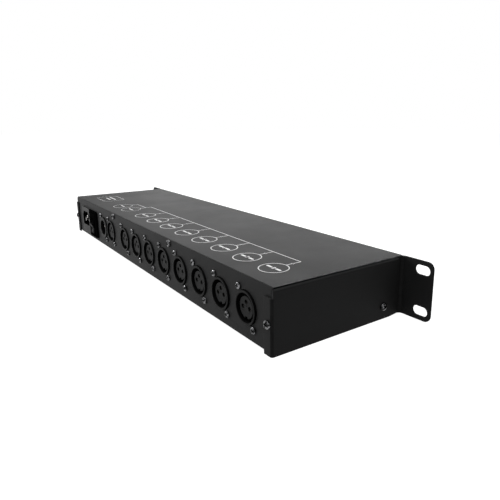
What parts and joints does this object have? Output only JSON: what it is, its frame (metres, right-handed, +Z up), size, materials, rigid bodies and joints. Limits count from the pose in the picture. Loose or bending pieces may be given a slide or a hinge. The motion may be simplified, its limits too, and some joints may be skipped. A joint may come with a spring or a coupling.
{
  "type": "rack data splitter",
  "caption": "Flat black rack unit with slotted ears, a row of round three-pole sockets on the rear and a switched, fused power inlet.",
  "frame": {"origin": "centre of the four rack slots, on the rear face of the ears", "axes": "+X to the right seen from the front, +Y to the rear (the side with the sockets), +Z up"},
  "size_m": [0.4826, 0.1232, 0.0444],
  "materials": {
    "case_sheet": "fine textured black powder coat",
    "socket_shell": "black moulded plastic",
    "socket_insert": "dark grey moulded plastic",
    "screw_steel": "bright nickel plate",
    "contact_metal": "bright plated brass",
    "blade_metal": "bright nickel plate",
    "inlet_plastic": "black moulded plastic",
    "rocker_plastic": "black moulded plastic, slightly glossy",
    "fuse_glass": "glass with nickel caps",
    "board_green": "green solder mask",
    "chip_black": "black moulded epoxy",
    "block_aluminium": "milled",
    "capacitor_sleeve": "dark shrink sleeve",
    "transformer_body": "yellow tape over a dark core",
    "terminal_green": "green moulded plastic",
    "wire_black": "black insulation",
    "ribbon_grey": "grey flat cable",
    "lamp_lens": "diffused lens",
    "bezel_black": "black moulded plastic"
  },
  "bodies": {
    "chassis": {"base_tray": "case_sheet", "cover": "case_sheet", "side_bracket_left": "case_sheet", "side_bracket_right": "case_sheet", "corner_screws": "screw_steel", "block_screws": "screw_steel", "side_screws": "screw_steel", "socket_screws": "screw_steel", "output_1_housing": "socket_shell", "output_2_housing": "socket_shell", "output_3_housing": "socket_shell", "output_4_housing": "socket_shell", "output_5_housing": "socket_shell", "output_6_housing": "socket_shell", "output_7_housing": "socket_shell", "output_8_housing": "socket_shell", "output_1_insert": "socket_insert", "output_2_insert": "socket_insert", "output_3_insert": "socket_insert", "output_4_insert": "socket_insert", "output_5_insert": "socket_insert", "output_6_insert": "socket_insert", "output_7_insert": "socket_insert", "output_8_insert": "socket_insert", "link_housing": "socket_shell", "link_insert": "socket_insert", "input_housing": "socket_shell", "input_insert": "socket_insert", "output_contacts": "contact_metal", "link_contacts": "contact_metal", "input_pins": "contact_metal", "inlet_housing": "inlet_plastic", "inlet_blades": "blade_metal", "switch_frame": "inlet_plastic", "switch_tabs": "blade_metal", "main_board": "board_green", "mounting_blocks": "block_aluminium", "board_posts": "block_aluminium", "board_screws": "screw_steel", "optocouplers": "chip_black", "line_drivers": "chip_black", "isolated_supplies": "chip_black", "board_capacitors": "capacitor_sleeve", "supply_board": "board_green", "supply_posts": "block_aluminium", "supply_screws": "screw_steel", "supply_transformer": "transformer_body", "supply_capacitor": "capacitor_sleeve", "supply_terminals": "terminal_green", "mains_wires": "wire_black", "low_voltage_wires": "wire_black", "led_board": "board_green", "led_ribbon": "ribbon_grey", "indicator_lamps": "lamp_lens", "indicator_bezels": "bezel_black"},
    "rocker": {"rocker": "rocker_plastic"},
    "fuse_drawer": {"fuse_drawer": "inlet_plastic", "fuse": "fuse_glass"}
  },
  "joints": [
    {"name": "rocker_tilt", "type": "hinge", "parent": "chassis", "child": "rocker", "pos_m": [0.1444, 0.1155, -0.0065], "axis": [1, 0, 0], "range_deg": [0, 20]},
    {"name": "fuse_drawer_slide", "type": "slide", "parent": "chassis", "child": "fuse_drawer", "axis": [0, 1, 0], "range_m": [0, 0.013]}
  ]
}
